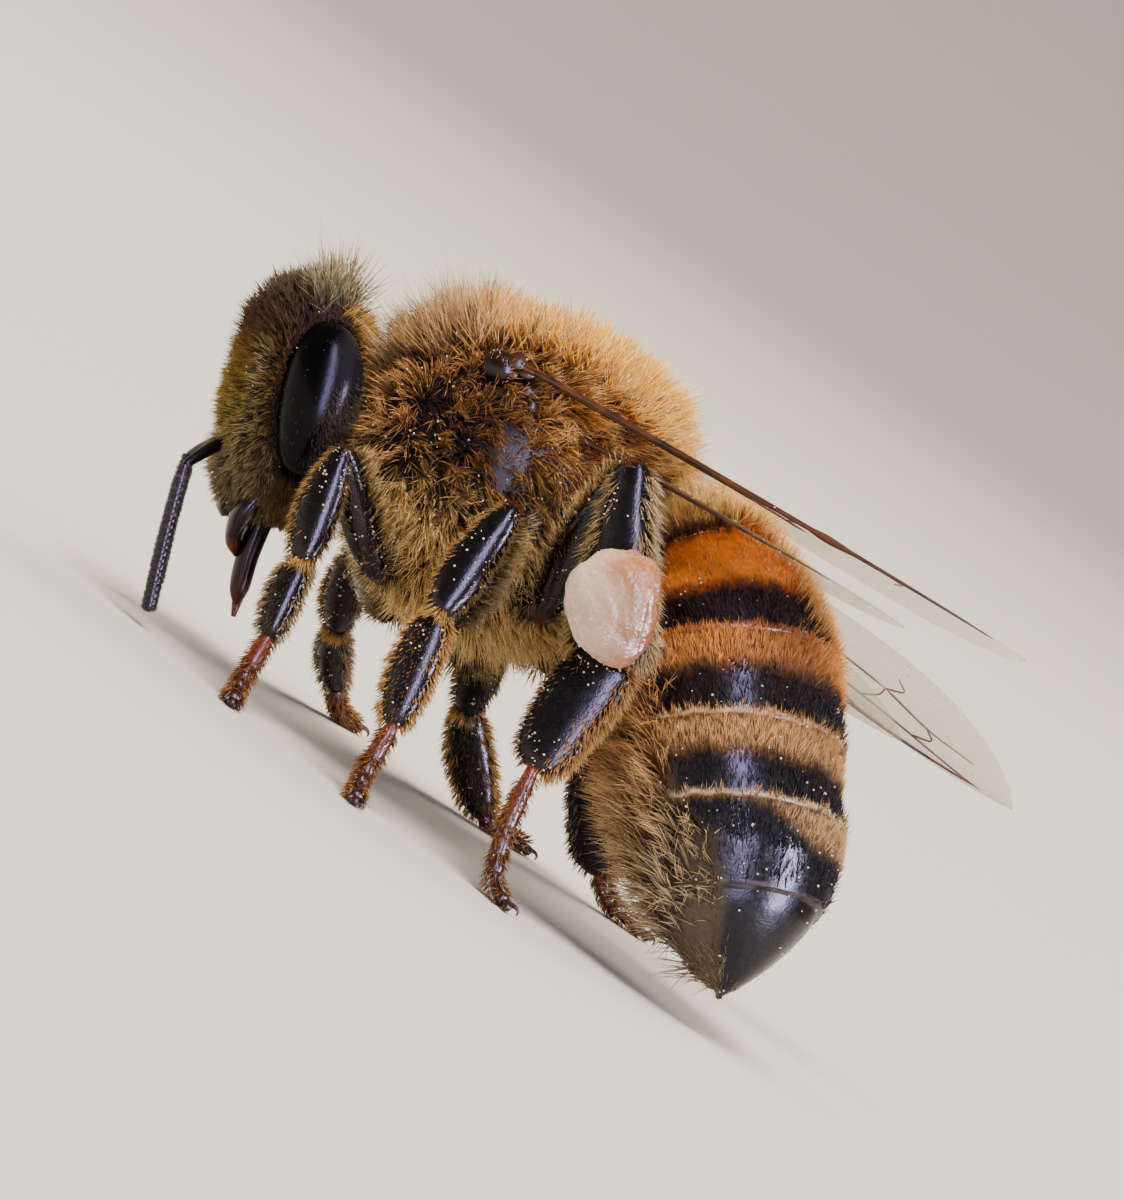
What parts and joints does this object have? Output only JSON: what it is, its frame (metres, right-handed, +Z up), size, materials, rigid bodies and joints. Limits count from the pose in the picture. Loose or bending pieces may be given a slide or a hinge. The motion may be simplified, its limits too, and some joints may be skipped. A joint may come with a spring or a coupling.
{
  "type": "honey bee",
  "caption": "Life-size standing honey bee worker with furry thorax, banded abdomen, folded clear wings and pale pollen loads on its hind legs; a still display model.",
  "frame": {"origin": "centre of the bounding box in plan, on the floor under the feet", "axes": "+Z up; the bee faces -X, so its length runs along X, and its left side looks towards -Y"},
  "size_m": [0.0133, 0.0095, 0.0078],
  "materials": {
    "black cuticle": "glossy black insect cuticle",
    "eye": "glossy black, finely faceted",
    "brown cuticle": "satin red-brown insect cuticle",
    "tan coat": "dense golden-tan branched hair",
    "dark coat": "short brown and ochre hair over dark cuticle",
    "orange cuticle": "satin orange cuticle with a black rear band",
    "banded coat": "short golden-brown hair bands over black cuticle",
    "wing": "clear, faintly brown membrane with dark veins",
    "pollen": "moist packed pollen, pale peach"
  },
  "bodies": {
    "root": {"thorax": "tan coat", "head": "dark coat", "eye_left": "eye", "eye_right": "eye", "scape_left": "black cuticle", "scape_right": "black cuticle", "flagellum_left": "black cuticle", "flagellum_right": "black cuticle", "mandible_left": "black cuticle", "mandible_right": "black cuticle", "proboscis": "brown cuticle", "abdomen_ring_1": "tan coat", "abdomen_ring_2": "orange cuticle", "abdomen_ring_3": "banded coat", "abdomen_ring_4": "banded coat", "abdomen_ring_5": "banded coat", "abdomen_ring_6": "black cuticle", "tegula_left": "brown cuticle", "tegula_right": "brown cuticle", "forewing_left": "wing", "forewing_right": "wing", "hindwing_left": "wing", "hindwing_right": "wing", "pollen_load_left": "pollen", "pollen_load_right": "pollen", "femur_fore_left": "black cuticle", "tibia_fore_left": "black cuticle", "basitarsus_fore_left": "black cuticle", "tarsus_fore_left": "brown cuticle", "femur_fore_right": "black cuticle", "tibia_fore_right": "black cuticle", "basitarsus_fore_right": "black cuticle", "tarsus_fore_right": "brown cuticle", "femur_mid_left": "black cuticle", "tibia_mid_left": "black cuticle", "basitarsus_mid_left": "black cuticle", "tarsus_mid_left": "brown cuticle", "femur_mid_right": "black cuticle", "tibia_mid_right": "black cuticle", "basitarsus_mid_right": "black cuticle", "tarsus_mid_right": "brown cuticle", "femur_hind_left": "black cuticle", "tibia_hind_left": "black cuticle", "basitarsus_hind_left": "black cuticle", "tarsus_hind_left": "brown cuticle", "femur_hind_right": "black cuticle", "tibia_hind_right": "black cuticle", "basitarsus_hind_right": "black cuticle", "tarsus_hind_right": "brown cuticle"}
  },
  "joints": []
}
